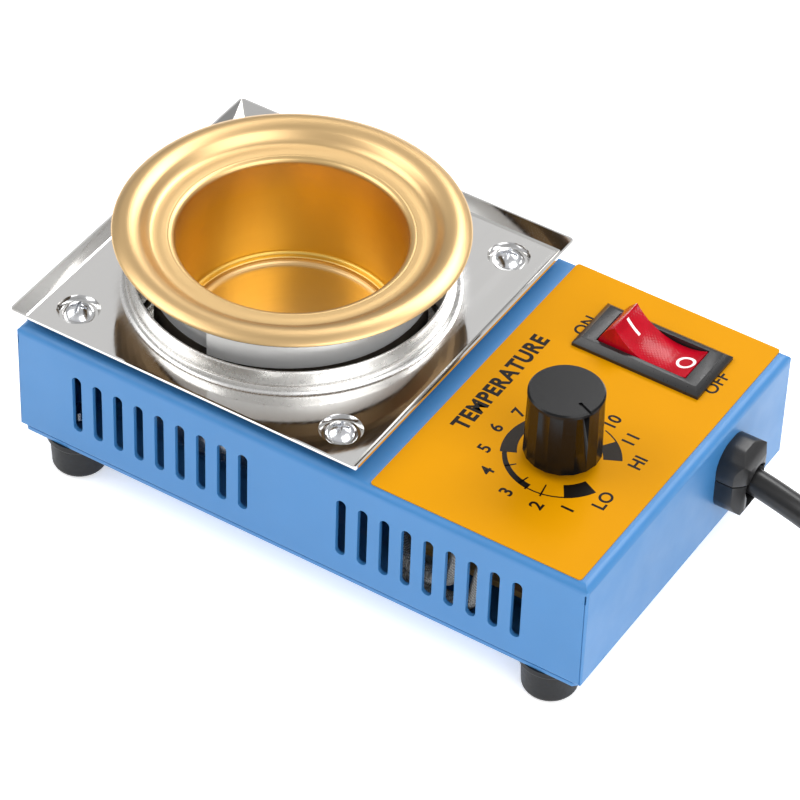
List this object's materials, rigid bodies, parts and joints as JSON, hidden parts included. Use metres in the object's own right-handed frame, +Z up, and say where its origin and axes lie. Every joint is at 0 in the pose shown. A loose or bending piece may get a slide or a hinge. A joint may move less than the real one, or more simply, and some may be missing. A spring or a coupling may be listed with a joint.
{
  "type": "solder pot",
  "caption": "Bench solder pot: heated round crucible on a drip tray over a vented sheet housing, with a rocker switch, a temperature dial and a coiled mains lead.",
  "frame": {"origin": "on the plane that the feet stand on, below the middle of the housing", "axes": "+X along the housing from the crucible towards the mains lead's end, +Y towards the long wall beside the rocker switch, +Z up"},
  "size_m": [0.3365, 0.0883, 0.0578],
  "materials": {
    "blue_enamel": "semi-gloss powder coat",
    "gilt_steel": "polished gold-toned steel",
    "polished_steel": "mirror polished stainless steel",
    "brushed_steel": "brushed",
    "zinc_steel": "bright zinc plated",
    "black_rubber": "matt",
    "orange_label": "printed film, semi-gloss",
    "black_plastic": "satin",
    "red_plastic": "translucent, gloss",
    "cord_pvc": "soft satin",
    "brass_parts": "bright",
    "mica": "matt",
    "ceramic_fibre": "matt",
    "glass_fibre": "woven sleeve",
    "board_laminate": "phenolic laminate",
    "nylon_white": "matt",
    "capacitor_red": "gloss",
    "copper_wire": "enamelled",
    "wire_brown": "PVC",
    "wire_green": "PVC",
    "alu": "extruded",
    "lamp_glass": "clear"
  },
  "bodies": {
    "base": {"housing_shell": "blue_enamel", "base_plate": "blue_enamel", "rubber_feet": "black_rubber", "foot_screws": "zinc_steel", "foot_nuts": "zinc_steel", "drip_tray": "polished_steel", "tray_screws": "zinc_steel", "tray_nuts": "zinc_steel", "crucible": "gilt_steel", "mica_heater": "mica", "clamp_strap": "polished_steel", "clamp_screw": "zinc_steel", "heat_shield": "brushed_steel", "insulation_pad": "ceramic_fibre", "shield_bracket": "brushed_steel", "bracket_screws": "zinc_steel", "control_label": "orange_label", "switch_body": "black_plastic", "switch_terminals": "brass_parts", "potentiometer": "brushed_steel", "dial_washer": "zinc_steel", "dial_nut": "brass_parts", "dimmer_board": "board_laminate", "board_spacers": "nylon_white", "board_screws": "zinc_steel", "triac": "black_plastic", "triac_heatsink": "alu", "film_capacitor": "capacitor_red", "suppressor_choke": "copper_wire", "terminal_block": "nylon_white", "heater_sleeves": "glass_fibre", "mains_wires": "wire_brown", "earth_lead": "wire_green", "earth_screw": "brass_parts", "strain_relief_upper": "black_plastic", "strain_relief_lower": "black_plastic", "power_cord": "cord_pvc", "cord_coil": "cord_pvc", "cord_tail": "cord_pvc", "cord_tie": "cord_pvc", "plug_body": "cord_pvc", "plug_pins": "zinc_steel", "plug_earth_clips": "zinc_steel"},
    "knob": {"control_knob": "black_plastic", "dial_spindle": "alu"},
    "rocker": {"switch_rocker": "red_plastic", "switch_lamp": "lamp_glass", "switch_plunger": "brass_parts"}
  },
  "joints": [
    {"name": "knob_turn", "type": "hinge", "parent": "base", "child": "knob", "pos_m": [0.0465, -0.0122, 0.0415], "axis": [0, 0, 1], "range_deg": [-300, 0]},
    {"name": "rocker_tilt", "type": "hinge", "parent": "base", "child": "rocker", "pos_m": [0.0459, 0.0263, 0.0373], "axis": [0, -1, 0], "range_deg": [0, 32]}
  ]
}
